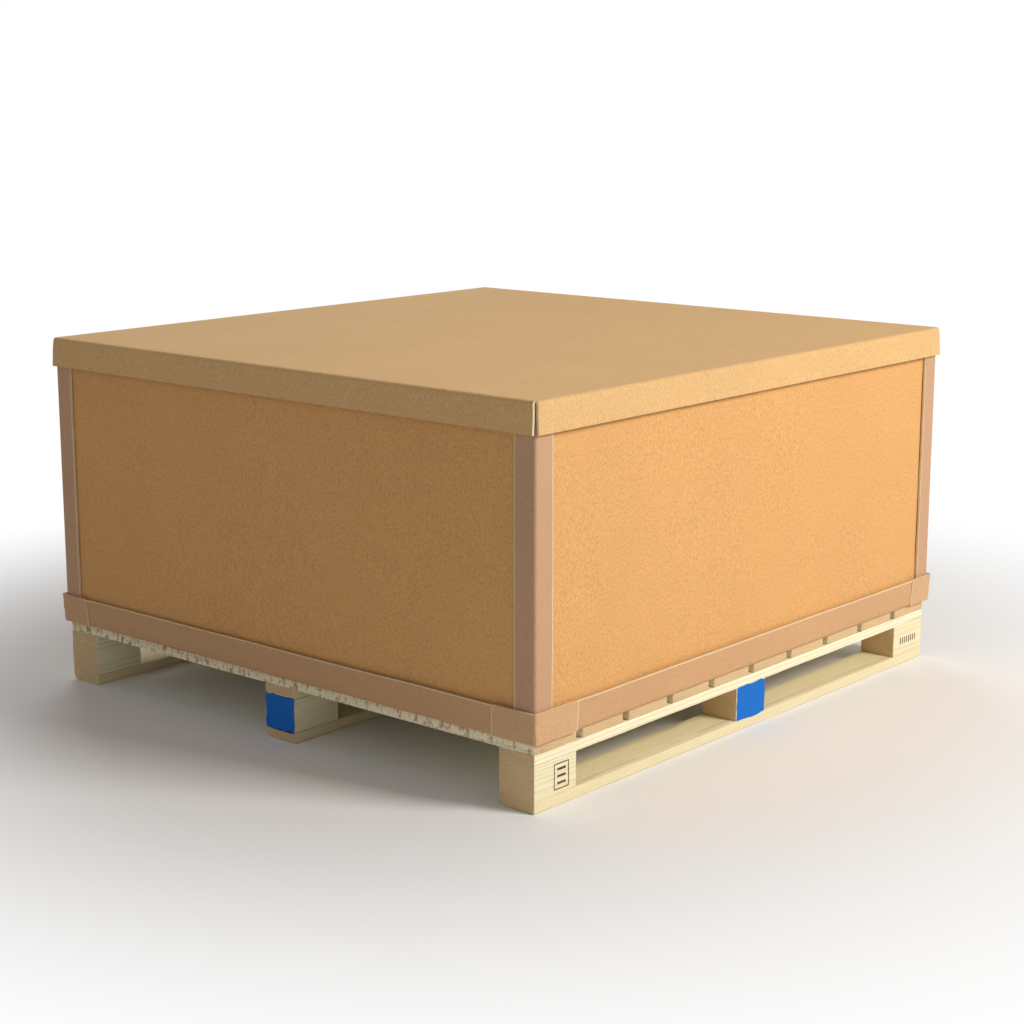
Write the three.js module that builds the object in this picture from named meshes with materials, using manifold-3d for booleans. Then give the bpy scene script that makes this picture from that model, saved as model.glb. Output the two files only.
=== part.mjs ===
// A bulk pallet box: a folded corrugated sleeve with a cap lid, on a nailed wooden block pallet.
// Millimetres, +Z up. X runs along the pallet's runner boards and Y along its deck boards.
// The origin is on the ground, under the middle of the pallet.
import * as THREE from "three";
import { mergeVertices } from "three/addons/utils/BufferGeometryUtils.js";
import Module from "manifold-3d";

// Driving dimensions of the pallet
const PALLET_LENGTH = 1140;
const PALLET_WIDTH = 1100;
const LEG_WIDTH = 70;
const RUNNER_THICKNESS = 18;
const RUNNER_EDGE_RADIUS = 12;
const BLOCK_HEIGHT = 57;
const END_BLOCK_LENGTH = 100;
const MIDDLE_BLOCK_LENGTH = 85;
const STRINGER_THICKNESS = 17;
const DECK_THICKNESS = 17;
const DECK_BOARD_WIDTH = 100;
const DECK_BOARD_COUNT = 10;
const PAINT_THICKNESS = 0.5;
const PAINT_OVERLAP = 3;

// Driving dimensions of the cardboard
const SLEEVE_HEIGHT = 510.5;
const SLEEVE_WALL = 10;
const SLEEVE_OVERHANG = 1;
const SLEEVE_FOLD_RADIUS = 12;
const BASE_PANEL_THICKNESS = 6;
const BASE_PANEL_CLEARANCE = 1.5;
const POST_LEG = 40;
const POST_THICKNESS = 4;
const POST_BEND_RADIUS = 5;
const POST_TOP_CLEARANCE = 2;
const TRIM_LEG = 50;
const TRIM_THICKNESS = 3.5;
const TRIM_BEND_RADIUS = 7;
const PATCH_HEIGHT = 50;
const PATCH_RISE = 1.5;
const PATCH_THICKNESS = 2.5;
const PATCH_BEND_RADIUS = 3.3;
const FRONT_LEFT_PATCH_X = 105;
const FRONT_LEFT_PATCH_Y = 90;
const FRONT_RIGHT_PATCH_X = 70;
const FRONT_RIGHT_PATCH_Y = 85;
const BACK_RIGHT_PATCH_X = 90;
const BACK_RIGHT_PATCH_Y = 80;
const BACK_LEFT_PATCH_X = 85;
const BACK_LEFT_PATCH_Y = 72;
const LID_THICKNESS = 4;
const LID_LIP_DEPTH = 50;
const LID_LIP_FLARE = 4;
const LID_FOLD_RADIUS = 6;
const LID_CLEARANCE = 0.7;

// Driving dimensions of the nails that hold the trims and the base panel down
const NAIL_RADIUS = 1.75;
const NAIL_LENGTH = 22;
const NAIL_HEAD_RADIUS = 5;
const NAIL_HEAD_THICKNESS = 1.5;
const NAIL_CLEARANCE = 0.3;

// Gap between pieces of board that lie against each other
const SEAT_GAP = 0.3;

// Steps in a curve, and sides of a nail
const ARC_STEPS = 5;
const NAIL_SIDES = 12;

// The four corners, each a quarter turn from the last. The patches are cut by hand, so each one
// wraps its two sides by its own lengths.
const CORNERS = [
  { name: "front_left", turn: 0, alongX: FRONT_LEFT_PATCH_X, alongY: FRONT_LEFT_PATCH_Y },
  { name: "front_right", turn: 1, alongX: FRONT_RIGHT_PATCH_X, alongY: FRONT_RIGHT_PATCH_Y },
  { name: "back_right", turn: 2, alongX: BACK_RIGHT_PATCH_X, alongY: BACK_RIGHT_PATCH_Y },
  { name: "back_left", turn: 3, alongX: BACK_LEFT_PATCH_X, alongY: BACK_LEFT_PATCH_Y },
];

// Heights that follow, from the ground up
const blockBottom = RUNNER_THICKNESS;
const blockTop = blockBottom + BLOCK_HEIGHT;
const stringerTop = blockTop + STRINGER_THICKNESS;
const deckTop = stringerTop + DECK_THICKNESS;
const trimFootTop = deckTop + TRIM_THICKNESS;
const basePanelTop = trimFootTop + BASE_PANEL_THICKNESS;
const sleeveTop = trimFootTop + SLEEVE_HEIGHT;
const lidTop = sleeveTop + LID_THICKNESS;

// Distances out from the pallet's edge that follow, from the sleeve outwards
const postOuter = SLEEVE_OVERHANG + SEAT_GAP + POST_THICKNESS;
const trimOuter = postOuter + SEAT_GAP + TRIM_THICKNESS;
const patchOuter = trimOuter + SEAT_GAP + PATCH_THICKNESS;
const lipInner = postOuter + LID_CLEARANCE;
const lipFoldCentre = lipInner - (LID_FOLD_RADIUS - LID_THICKNESS);

// Places that follow
const halfLength = PALLET_LENGTH / 2;
const halfWidth = PALLET_WIDTH / 2;
const legCentres = [LEG_WIDTH / 2 - halfWidth, 0, halfWidth - LEG_WIDTH / 2];
const deckPitch = (PALLET_LENGTH - DECK_BOARD_WIDTH) / (DECK_BOARD_COUNT - 1);
const deckBoardCentres = Array.from(
  { length: DECK_BOARD_COUNT },
  (_, board) => DECK_BOARD_WIDTH / 2 - halfLength + board * deckPitch,
);

// The nails stand midway between the sleeve's inner face and the inner edge of the trims' feet.
const sleeveInnerInset = SLEEVE_WALL - SLEEVE_OVERHANG;
const trimFootInset = TRIM_LEG - trimOuter;
const nailInset = (sleeveInnerInset + trimFootInset) / 2;
const nailedBoard = Math.round(DECK_BOARD_COUNT / 4);
const endNailX = halfLength - nailInset;
const endNailY = PALLET_WIDTH / 4;
const sideNailX = -deckBoardCentres[nailedBoard];
const sideNailY = halfWidth - nailInset;
const nailPlaces = [
  [endNailX, endNailY],
  [sideNailX, sideNailY],
].flatMap(([x, y]) => [[-x, -y], [x, -y], [x, y], [-x, y]]);

const pine = new THREE.MeshStandardMaterial({ color: 0xf0dfa6, roughness: 0.75, metalness: 0 });
const bluePaint = new THREE.MeshStandardMaterial({ color: 0x0a6fd0, roughness: 0.5, metalness: 0 });
const panelKraft = new THREE.MeshStandardMaterial({ color: 0xc98e57, roughness: 0.85, metalness: 0 });
const angleKraft = new THREE.MeshStandardMaterial({ color: 0xcfa27c, roughness: 0.7, metalness: 0 });
const lidKraft = new THREE.MeshStandardMaterial({ color: 0xd9ab70, roughness: 0.85, metalness: 0 });
const nailSteel = new THREE.MeshStandardMaterial({ color: 0x9a9a98, roughness: 0.4, metalness: 1 });

const wasm = await Module();
wasm.setup();

// A closed geometry as a solid that can be joined and cut
function toSolid(geometry) {
  const bare = geometry.clone();
  bare.deleteAttribute("normal");
  bare.deleteAttribute("uv");
  const merged = mergeVertices(bare, 1e-4);
  const mesh = new wasm.Mesh({
    numProp: 3,
    vertProperties: new Float32Array(merged.attributes.position.array),
    triVerts: new Uint32Array(merged.index.array),
  });
  return new wasm.Manifold(mesh);
}

// The solid's surface as a geometry again
function toGeometry(solid) {
  const { vertProperties, triVerts } = solid.getMesh();
  const geometry = new THREE.BufferGeometry();
  geometry.setAttribute("position", new THREE.BufferAttribute(vertProperties, 3));
  geometry.setIndex(new THREE.BufferAttribute(triVerts, 1));
  geometry.computeVertexNormals();
  return geometry;
}

// A box between six planes. Timbers meet face to face, so two that meet are given the same number.
function slab(x, y, z) {
  const geometry = new THREE.BoxGeometry(1, 1, 1);
  const corners = geometry.attributes.position;
  for (let i = 0; i < corners.count; i += 1) {
    const ends = [corners.getX(i), corners.getY(i), corners.getZ(i)].map((side) => (side < 0 ? 0 : 1));
    corners.setXYZ(i, x[ends[0]], y[ends[1]], z[ends[2]]);
  }
  return geometry;
}

// An outline in plan, drawn up from one height to another
function upright(outline, bottom, top) {
  const shape = { depth: 1, bevelEnabled: false, curveSegments: ARC_STEPS };
  const geometry = new THREE.ExtrudeGeometry(outline, shape);
  const points = geometry.attributes.position;
  for (let i = 0; i < points.count; i += 1) {
    points.setZ(i, points.getZ(i) < 0.5 ? bottom : top);
  }
  return geometry;
}

// A section in Y and Z, drawn along X to both sides. Its half length may depend on Y, as at a mitre.
function lengthwise(section, halfLengthAt) {
  const shape = { depth: 1, bevelEnabled: false, curveSegments: ARC_STEPS };
  const geometry = new THREE.ExtrudeGeometry(section, shape);
  const points = geometry.attributes.position;
  for (let i = 0; i < points.count; i += 1) {
    const y = points.getX(i);
    const z = points.getY(i);
    const half = halfLengthAt(y);
    points.setXYZ(i, points.getZ(i) < 0.5 ? -half : half, y, z);
  }
  return geometry;
}

// A rectangle about the origin with round corners
function roundedRectangle(target, halfX, halfY, radius) {
  const [left, right] = [radius - halfX, halfX - radius];
  const [front, back] = [radius - halfY, halfY - radius];
  target.absarc(right, back, radius, 0, Math.PI / 2, false);
  target.absarc(left, back, radius, Math.PI / 2, Math.PI, false);
  target.absarc(left, front, radius, Math.PI, 1.5 * Math.PI, false);
  target.absarc(right, front, radius, 1.5 * Math.PI, 2 * Math.PI, false);
  target.closePath();
  return target;
}

// An angle board in plan: its outer corner is at the origin and its legs run along +X and +Y.
function angleOutline(legX, legY, thickness, bendRadius) {
  const outline = new THREE.Shape();
  const innerRadius = bendRadius - thickness;
  outline.moveTo(legX, 0);
  outline.lineTo(legX, thickness);
  outline.absarc(bendRadius, bendRadius, innerRadius, 1.5 * Math.PI, Math.PI, true);
  outline.lineTo(thickness, legY);
  outline.lineTo(0, legY);
  outline.absarc(bendRadius, bendRadius, bendRadius, Math.PI, 1.5 * Math.PI, false);
  outline.closePath();
  return outline;
}

// The straight bore that a nail stands in
function nailBore(x, y) {
  const bottom = basePanelTop - NAIL_LENGTH - NAIL_CLEARANCE;
  const radius = NAIL_RADIUS + NAIL_CLEARANCE;
  const profile = [
    new THREE.Vector2(0, bottom),
    new THREE.Vector2(radius, bottom),
    new THREE.Vector2(radius, basePanelTop + NAIL_CLEARANCE),
    new THREE.Vector2(0, basePanelTop + NAIL_CLEARANCE),
  ];
  const bore = new THREE.LatheGeometry(profile, NAIL_SIDES);
  bore.rotateX(Math.PI / 2);
  bore.translate(x, y, 0);
  return bore;
}

// The geometry with a bore for each nail that stands in it
function boredFor(geometry, places) {
  const bored = places.reduce(
    (solid, [x, y]) => solid.subtract(toSolid(nailBore(x, y))),
    toSolid(geometry),
  );
  return toGeometry(bored);
}

function addPiece(group, name, geometry, material) {
  const piece = new THREE.Mesh(geometry, material);
  piece.name = name;
  group.add(piece);
  return piece;
}

// The runner board under a leg. One of its lower long edges is rounded.
function runnerBoard(legCentre) {
  const front = legCentre - LEG_WIDTH / 2;
  const back = legCentre + LEG_WIDTH / 2;
  const radius = RUNNER_EDGE_RADIUS;
  const section = new THREE.Shape();
  section.moveTo(back, RUNNER_THICKNESS);
  section.lineTo(front, RUNNER_THICKNESS);
  section.lineTo(front, 0);
  section.absarc(back - radius, radius, radius, 1.5 * Math.PI, 2 * Math.PI, false);
  section.closePath();
  return lengthwise(section, () => halfLength);
}

function addLegs(pallet) {
  const names = ["front", "middle", "back"];
  names.forEach((name, leg) => {
    const y = [legCentres[leg] - LEG_WIDTH / 2, legCentres[leg] + LEG_WIDTH / 2];
    const wholeLength = [-halfLength, halfLength];
    const blocks = {
      left: [-halfLength, END_BLOCK_LENGTH - halfLength],
      centre: [-MIDDLE_BLOCK_LENGTH / 2, MIDDLE_BLOCK_LENGTH / 2],
      right: [halfLength - END_BLOCK_LENGTH, halfLength],
    };
    addPiece(pallet, `runner_board_${name}`, runnerBoard(legCentres[leg]), pine);
    for (const [place, x] of Object.entries(blocks)) {
      addPiece(pallet, `block_${name}_${place}`, slab(x, y, [blockBottom, blockTop]), pine);
    }
    const stringer = slab(wholeLength, y, [blockTop, stringerTop]);
    addPiece(pallet, `stringer_board_${name}`, stringer, pine);
  });
}

function addDeck(pallet) {
  deckBoardCentres.forEach((centre, board) => {
    const x = [centre - DECK_BOARD_WIDTH / 2, centre + DECK_BOARD_WIDTH / 2];
    const whole = slab(x, [-halfWidth, halfWidth], [stringerTop, deckTop]);
    const nails = nailPlaces.filter(([nailX]) => nailX > x[0] && nailX < x[1]);
    addPiece(pallet, `deck_board_${board + 1}`, boredFor(whole, nails), pine);
  });
}

// A coat of paint on the outward face of the middle block of each side
function addPaint(pallet) {
  const z = [blockBottom - PAINT_OVERLAP, blockTop + PAINT_OVERLAP];
  const alongFront = [-MIDDLE_BLOCK_LENGTH / 2, MIDDLE_BLOCK_LENGTH / 2];
  const alongEnd = [-LEG_WIDTH / 2, LEG_WIDTH / 2];
  const faces = {
    front: [alongFront, [-halfWidth - PAINT_THICKNESS, -halfWidth]],
    back: [alongFront, [halfWidth, halfWidth + PAINT_THICKNESS]],
    left: [[-halfLength - PAINT_THICKNESS, -halfLength], alongEnd],
    right: [[halfLength, halfLength + PAINT_THICKNESS], alongEnd],
  };
  for (const [name, [x, y]] of Object.entries(faces)) {
    addPiece(pallet, `paint_mark_${name}`, slab(x, y, z), bluePaint);
  }
}

// A bottom trim's section at the front: a foot on the deck, a round bend and a leg up the sleeve
function trimSection(outerFace) {
  const bend = outerFace + TRIM_BEND_RADIUS;
  const bendHeight = deckTop + TRIM_BEND_RADIUS;
  const innerRadius = TRIM_BEND_RADIUS - TRIM_THICKNESS;
  const section = new THREE.Shape();
  section.moveTo(outerFace + TRIM_LEG, trimFootTop);
  section.lineTo(outerFace + TRIM_LEG, deckTop);
  section.absarc(bend, bendHeight, TRIM_BEND_RADIUS, 1.5 * Math.PI, Math.PI, true);
  section.lineTo(outerFace, deckTop + TRIM_LEG);
  section.lineTo(outerFace + TRIM_THICKNESS, deckTop + TRIM_LEG);
  section.absarc(bend, bendHeight, innerRadius, Math.PI, 1.5 * Math.PI, false);
  section.closePath();
  return section;
}

// The four trims are mitred where they meet, and each one is bored for its two nails.
function addTrims(box) {
  const onSides = { reach: halfWidth, half: halfLength, nailX: sideNailX, nailY: sideNailY };
  const onEnds = { reach: halfLength, half: halfWidth, nailX: endNailY, nailY: endNailX };
  const trims = [
    { name: "front", turn: 0, ...onSides },
    { name: "right", turn: 1, ...onEnds },
    { name: "back", turn: 2, ...onSides },
    { name: "left", turn: 3, ...onEnds },
  ];
  for (const { name, turn, reach, half, nailX, nailY } of trims) {
    const mitre = (y) => half - y - reach - SEAT_GAP;
    const angle = lengthwise(trimSection(-reach - trimOuter), mitre);
    const bored = boredFor(angle, [[-nailX, -nailY], [nailX, -nailY]]);
    const trim = addPiece(box, `bottom_trim_${name}`, bored, angleKraft);
    trim.rotation.z = turn * Math.PI / 2;
  }
}

// The pieces at a corner are drawn for the front left one and turned round to theirs.
function placeAtCorner(piece, turn, outer) {
  const [signX, signY] = [[-1, -1], [1, -1], [1, 1], [-1, 1]][turn];
  piece.rotation.z = turn * Math.PI / 2;
  piece.position.set(signX * (halfLength + outer), signY * (halfWidth + outer), 0);
}

function addPosts(box) {
  const bottom = deckTop + TRIM_BEND_RADIUS;
  const top = sleeveTop - POST_TOP_CLEARANCE;
  for (const { name, turn } of CORNERS) {
    const outline = angleOutline(POST_LEG, POST_LEG, POST_THICKNESS, POST_BEND_RADIUS);
    const post = addPiece(box, `corner_post_${name}`, upright(outline, bottom, top), angleKraft);
    placeAtCorner(post, turn, postOuter);
  }
}

function addPatches(box) {
  const bottom = deckTop + PATCH_RISE;
  for (const { name, turn, alongX, alongY } of CORNERS) {
    const legs = turn % 2 === 0 ? [alongX, alongY] : [alongY, alongX];
    const outline = angleOutline(...legs, PATCH_THICKNESS, PATCH_BEND_RADIUS);
    const wrap = upright(outline, bottom, bottom + PATCH_HEIGHT);
    const patch = addPiece(box, `corner_patch_${name}`, wrap, angleKraft);
    placeAtCorner(patch, turn, patchOuter);
  }
}

function addSleeve(box) {
  const halfX = halfLength + SLEEVE_OVERHANG;
  const halfY = halfWidth + SLEEVE_OVERHANG;
  const innerRadius = SLEEVE_FOLD_RADIUS - SLEEVE_WALL;
  const outline = roundedRectangle(new THREE.Shape(), halfX, halfY, SLEEVE_FOLD_RADIUS);
  const inside = [halfX - SLEEVE_WALL, halfY - SLEEVE_WALL, innerRadius];
  outline.holes.push(roundedRectangle(new THREE.Path(), ...inside));
  addPiece(box, "wall_sleeve", upright(outline, trimFootTop, sleeveTop), panelKraft);
}

function addBasePanel(box) {
  const inset = sleeveInnerInset + BASE_PANEL_CLEARANCE;
  const x = [inset - halfLength, halfLength - inset];
  const y = [inset - halfWidth, halfWidth - inset];
  const panel = slab(x, y, [trimFootTop, basePanelTop]);
  addPiece(box, "base_panel", boredFor(panel, nailPlaces), panelKraft);
}

// A flat-headed nail through the base panel and a trim's foot into a deck board
function addNails(box) {
  const headTop = basePanelTop + NAIL_HEAD_THICKNESS;
  const profile = [
    new THREE.Vector2(0, basePanelTop - NAIL_LENGTH),
    new THREE.Vector2(NAIL_RADIUS, basePanelTop - NAIL_LENGTH + NAIL_RADIUS),
    new THREE.Vector2(NAIL_RADIUS, basePanelTop),
    new THREE.Vector2(NAIL_HEAD_RADIUS, basePanelTop),
    new THREE.Vector2(NAIL_HEAD_RADIUS, headTop),
    new THREE.Vector2(0, headTop),
  ];
  nailPlaces.forEach(([x, y], nail) => {
    const shank = new THREE.LatheGeometry(profile, NAIL_SIDES);
    shank.rotateX(Math.PI / 2);
    const piece = addPiece(box, `base_nail_${nail + 1}`, shank, nailSteel);
    piece.position.set(x, y, 0);
  });
}

// A lip's section at the front: the edge of the top sheet, a round fold and a lip that flares out
function lipSection(foldCentre, root) {
  const flare = Math.asin(LID_LIP_FLARE / LID_LIP_DEPTH);
  const [cos, sin] = [Math.cos(flare), Math.sin(flare)];
  const centreHeight = lidTop - LID_FOLD_RADIUS;
  const innerRadius = LID_FOLD_RADIUS - LID_THICKNESS;
  const lipBottom = lidTop - LID_LIP_DEPTH;
  const straight = (centreHeight + LID_FOLD_RADIUS * sin - lipBottom) / cos;
  const outerY = foldCentre - LID_FOLD_RADIUS * cos - straight * sin;
  const section = new THREE.Shape();
  section.moveTo(foldCentre + root, sleeveTop);
  section.lineTo(foldCentre + root, lidTop);
  section.absarc(foldCentre, centreHeight, LID_FOLD_RADIUS, Math.PI / 2, Math.PI - flare, false);
  section.lineTo(outerY, lipBottom);
  section.lineTo(outerY + LID_THICKNESS * cos, lipBottom - LID_THICKNESS * sin);
  section.absarc(foldCentre, centreHeight, innerRadius, Math.PI - flare, Math.PI / 2, true);
  section.closePath();
  return section;
}

// One folded sheet. Its lips aren't joined to each other, so the corners stay open below the folds.
function addLid(group) {
  const sheetX = halfLength + lipFoldCentre;
  const sheetY = halfWidth + lipFoldCentre;
  const lipEnd = lipInner - LID_CLEARANCE;
  const root = LID_FOLD_RADIUS;
  const sides = [
    { turn: 0, foldCentre: -sheetY, half: halfLength + lipEnd },
    { turn: 1, foldCentre: -sheetX, half: halfWidth + lipEnd },
    { turn: 2, foldCentre: -sheetY, half: halfLength + lipEnd },
    { turn: 3, foldCentre: -sheetX, half: halfWidth + lipEnd },
  ];
  const sheet = slab([-sheetX, sheetX], [-sheetY, sheetY], [sleeveTop, lidTop]);
  let lid = toSolid(sheet);
  for (const { turn, foldCentre, half } of sides) {
    const lip = lengthwise(lipSection(foldCentre, root), () => half);
    lip.rotateZ(turn * Math.PI / 2);
    lid = lid.add(toSolid(lip));
  }
  addPiece(group, "lid", toGeometry(lid), lidKraft);
}

const palletBox = new THREE.Group();
const pallet = new THREE.Group();
const box = new THREE.Group();
palletBox.add(pallet, box);

addLegs(pallet);
addDeck(pallet);
addPaint(pallet);
addTrims(box);
addBasePanel(box);
addSleeve(box);
addPosts(box);
addPatches(box);
addNails(box);
addLid(palletBox);

export default palletBox;
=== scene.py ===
# %% [markdown]
# # A bulk pallet box
# This lesson dresses a finished mechanical model: a corrugated box with a cap lid, on a wooden
# block pallet. The model's solids fix every size and place, and the script reads them from there. It
# builds a finer surface for each piece inside the same box, and gives each one a material worked out
# from noise, waves and rings instead of pictures.

import bpy
import numpy as np
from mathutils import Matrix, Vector


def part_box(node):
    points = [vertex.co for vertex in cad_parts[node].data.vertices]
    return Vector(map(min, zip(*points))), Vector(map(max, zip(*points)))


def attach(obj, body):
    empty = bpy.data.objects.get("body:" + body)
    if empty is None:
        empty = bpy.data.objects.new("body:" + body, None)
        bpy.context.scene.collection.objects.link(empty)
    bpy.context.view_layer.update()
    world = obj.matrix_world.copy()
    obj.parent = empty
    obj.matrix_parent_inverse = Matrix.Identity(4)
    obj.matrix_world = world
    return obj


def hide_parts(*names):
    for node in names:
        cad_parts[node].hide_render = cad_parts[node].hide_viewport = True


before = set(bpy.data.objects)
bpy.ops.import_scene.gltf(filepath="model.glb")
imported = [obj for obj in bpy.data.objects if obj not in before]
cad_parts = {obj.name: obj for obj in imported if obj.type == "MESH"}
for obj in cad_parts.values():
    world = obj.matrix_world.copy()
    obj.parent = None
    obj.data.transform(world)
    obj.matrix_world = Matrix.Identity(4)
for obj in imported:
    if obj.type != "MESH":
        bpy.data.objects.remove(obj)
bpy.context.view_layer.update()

# %% [markdown]
# ## Camera, light and floor
# The camera stands where the photographer stood, a little higher than the lid and off one corner,
# so that both visible sides have their true perspective. Only the lens is longer, because one box
# fills the picture. A strong wide lamp lights the front, a weak one the left side, and a third the
# back. The world looks white to the camera, and sheds only a quarter of that light on the box.

# %% Camera
CAMERA_PLACE = (-2.823, -2.440, 1.088)
CAMERA_TARGET = (0.02, 0.0, 0.292)
CAMERA_LENS = 73.0

camera_data = bpy.data.cameras.new("camera")
camera_data.lens = CAMERA_LENS
camera_data.sensor_width = 36.0
camera = bpy.data.objects.new("camera", camera_data)
camera.location = CAMERA_PLACE
camera.rotation_euler = (Vector(CAMERA_TARGET) - Vector(CAMERA_PLACE)).to_track_quat("-Z", "Y").to_euler()
bpy.context.scene.collection.objects.link(camera)
bpy.context.scene.camera = camera
bpy.context.scene.view_settings.view_transform = "Standard"


# %% Lamps and world
def add_lamp(name, place, target, size, watts, colour):
    """A square area lamp at a place, aimed at a target point."""
    data = bpy.data.lights.new(name, "AREA")
    data.shape = "SQUARE"
    data.size = size
    data.energy = watts
    data.color = colour
    lamp = bpy.data.objects.new(name, data)
    lamp.location = place
    lamp.rotation_euler = (Vector(target) - Vector(place)).to_track_quat("-Z", "Y").to_euler()
    bpy.context.scene.collection.objects.link(lamp)


add_lamp("key_lamp", (0.9, -4.2, 2.9), (0, 0, 0.25), 1.5, 184, (1.0, 0.97, 0.92))
add_lamp("fill_lamp", (-4.2, -0.6, 2.2), (0, 0, 0.3), 2.6, 6, (1.0, 0.9, 0.84))
add_lamp("back_lamp", (2.6, 3.6, 3.0), (0, 0, 0.3), 2.6, 60, (1.0, 1.0, 1.0))

WORLD_LIGHT = 0.26
WORLD_SEEN = 1.0

world = bpy.data.worlds.new("studio")
world.use_nodes = True
bpy.context.scene.world = world
background = world.node_tree.nodes["Background"]
background.inputs["Color"].default_value = (1.0, 1.0, 1.0, 1)
light_path = world.node_tree.nodes.new("ShaderNodeLightPath")
seen = world.node_tree.nodes.new("ShaderNodeMath")
seen.operation = "MAXIMUM"
strength = world.node_tree.nodes.new("ShaderNodeMapRange")
strength.inputs["To Min"].default_value = WORLD_LIGHT
strength.inputs["To Max"].default_value = WORLD_SEEN
world.node_tree.links.new(light_path.outputs["Is Camera Ray"], seen.inputs[0])
world.node_tree.links.new(light_path.outputs["Is Glossy Ray"], seen.inputs[1])
world.node_tree.links.new(seen.outputs[0], strength.inputs["Value"])
world.node_tree.links.new(strength.outputs["Result"], background.inputs["Strength"])

# %% [markdown]
# ## Meshes from arrays
# Every new piece is a surface worked out as a whole array: rows of points by columns of points.
# One helper turns such a grid into quads by index arithmetic, and another puts points, faces and
# attributes into a mesh. A profile carried along a path is the same grid with its rows closed.


# %% Grid helpers
def grid_faces(rows, columns, close_rows=False, close_columns=False, start=0):
    """Quads between neighbouring points of a rows by columns grid, numbered row by row.

    close_rows joins the last row to the first, close_columns the last column to the first.
    """
    row = np.arange(rows if close_rows else rows - 1)
    column = np.arange(columns if close_columns else columns - 1)
    row, column = np.meshgrid(row, column, indexing="ij")
    next_row = (row + 1) % rows
    next_column = (column + 1) % columns
    corners = [
        row * columns + column,
        row * columns + next_column,
        next_row * columns + next_column,
        next_row * columns + column,
    ]
    return np.stack(corners, axis=-1).reshape(-1, 4) + start


# %% Seeded noise
FIRST_SEED = {"runner": 11, "stringer": 21, "block": 31, "deck": 50,
              "post": 70, "trim": 80, "patch": 90, "paint": 100}


def noise_1d(position, seed, waves=6):
    """A smooth wander between about -1 and 1: a sum of sines with seeded frequencies and phases."""
    rng = np.random.default_rng(seed)
    frequency = rng.uniform(0.6, 4.0, waves)
    phase = rng.uniform(0, 2 * np.pi, waves)
    height = rng.uniform(0.4, 1.0, waves) / np.sqrt(frequency)
    angle = 2 * np.pi * np.multiply.outer(position, frequency) + phase
    return (np.sin(angle) * height).sum(axis=-1) / height.sum() * 1.6


def noise_2d(first, second, seed, waves=14, finest=6.0):
    """A smooth height field: a sum of plane sine waves with seeded directions and phases."""
    rng = np.random.default_rng(seed)
    turn = rng.uniform(0, 2 * np.pi, waves)
    frequency = rng.uniform(0.5, finest, waves)
    phase = rng.uniform(0, 2 * np.pi, waves)
    height = 1 / np.sqrt(frequency)
    along = np.multiply.outer(first, frequency * np.cos(turn))
    across = np.multiply.outer(second, frequency * np.sin(turn))
    wave = np.sin(2 * np.pi * (along + across) + phase) * height
    return wave.sum(axis=-1) / np.sqrt((height**2).sum())


# %% Tubes
def tube(points):
    """Faces of a closed tube: a grid whose rows are rings, and a flat cap on the first and last."""
    rows, columns = points.shape[:2]
    sides = grid_faces(rows, columns, close_columns=True).tolist()
    last = (rows - 1) * columns
    return sides + [list(range(columns))[::-1], list(range(last, last + columns))]


def folded_tube(points):
    """Faces of a tube whose ring goes out along a sheet and back: its caps are strips of quads.

    Column i on the way out is opposite column (last - i) on the way back.
    """
    rows, columns = points.shape[:2]
    out = np.arange(columns // 2 - 1)
    strip = np.stack([out, columns - 1 - out, columns - 2 - out, out + 1], axis=-1)
    sides = grid_faces(rows, columns, close_columns=True)
    return np.concatenate([sides, strip, strip[:, ::-1] + (rows - 1) * columns]).tolist()


def outward(points, faces):
    """The faces, turned round if the volume that they enclose comes out negative.

    The volume is a sixth of the sum of a . (b x c) over the triangles of every face's fan.
    """
    triangles = np.array([(face[0], face[i], face[i + 1]) for face in faces for i in range(1, len(face) - 1)])
    first, second, third = (points.reshape(-1, 3)[triangles[:, i]] for i in range(3))
    volume = np.einsum("ij,ij->i", first, np.cross(second, third)).sum() / 6
    return faces if volume > 0 else [face[::-1] for face in faces]


# %% A new piece
def new_piece(name, points, faces, materials, replaces=(), attributes=None, body="base",
              face_material=None, sharp_degrees=40):
    """A smooth-shaded mesh at the origin from an array of points and lists of faces.

    face_material holds the index of each face's material, where there is more than one.
    """
    mesh = bpy.data.meshes.new(name)
    mesh.from_pydata(points.reshape(-1, 3).tolist(), [], faces)
    for label, values in (attributes or {}).items():
        kind, key = ("FLOAT_VECTOR", "vector") if np.ndim(values) == 2 else ("FLOAT", "value")
        layer = mesh.attributes.new(label, kind, "POINT")
        layer.data.foreach_set(key, np.asarray(values, np.float32).ravel())
    mesh.polygons.foreach_set("use_smooth", np.full(len(mesh.polygons), True))
    for material in materials:
        mesh.materials.append(material)
    if face_material is not None:
        mesh.polygons.foreach_set("material_index", np.asarray(face_material, np.int32))
    mesh.update()
    mesh.set_sharp_from_angle(angle=np.radians(sharp_degrees))
    piece = bpy.data.objects.new(name, mesh)
    bpy.context.scene.collection.objects.link(piece)
    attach(piece, body)
    if replaces:
        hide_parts(*replaces)
    return piece


def join_shells(shells):
    """Several (points, faces) shells as one array of points and one list of faces."""
    points, faces, start = [], [], 0
    for shell_points, shell_faces in shells:
        shell_points = shell_points.reshape(-1, 3)
        points.append(shell_points)
        faces.extend([[index + start for index in face] for face in shell_faces])
        start += len(shell_points)
    return np.concatenate(points), faces


# %% [markdown]
# ## Wood
# Pine is a solid pattern, not a skin: year rings around a pith run the whole length of a log, and
# a saw plane cuts long flames out of them on a board's face and arcs on its end. So each timber
# carries its own place in a log as an attribute, and one material computes the rings there. The
# faces and the ends then agree by themselves.


# %% Node helpers
def new_material(name):
    """A new material, its node tree and its Principled shader."""
    material = bpy.data.materials.new(name)
    material.use_nodes = True
    tree = material.node_tree
    shader = tree.nodes["Principled BSDF"]
    return material, tree, shader


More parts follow.
